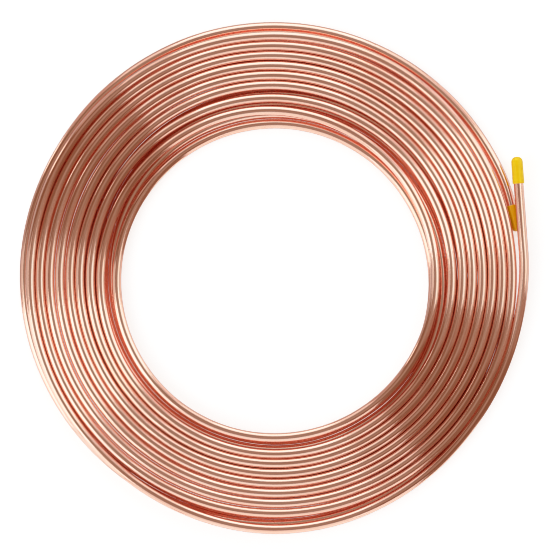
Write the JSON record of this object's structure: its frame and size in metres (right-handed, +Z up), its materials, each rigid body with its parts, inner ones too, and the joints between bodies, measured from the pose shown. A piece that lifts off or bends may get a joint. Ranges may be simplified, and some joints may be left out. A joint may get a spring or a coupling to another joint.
{
  "type": "copper tube coil",
  "caption": "Flat two-layer coil of soft copper tube, open in the middle, with both free ends at its outer edge closed by push-on plastic caps.",
  "frame": {"origin": "on the floor, on the axis of the coil", "axes": "+Z up along the axis of the coil, the coil lying flat; the free ends leave it on the +X side, and the upper one points towards +Y"},
  "size_m": [0.3291, 0.3297, 0.0142],
  "materials": {
    "copper": "bright drawn copper",
    "cap_plastic": "soft yellow plastic"
  },
  "bodies": {
    "root": {"tube_coil": "copper", "end_cap_upper": "cap_plastic", "end_cap_lower": "cap_plastic"}
  },
  "joints": []
}
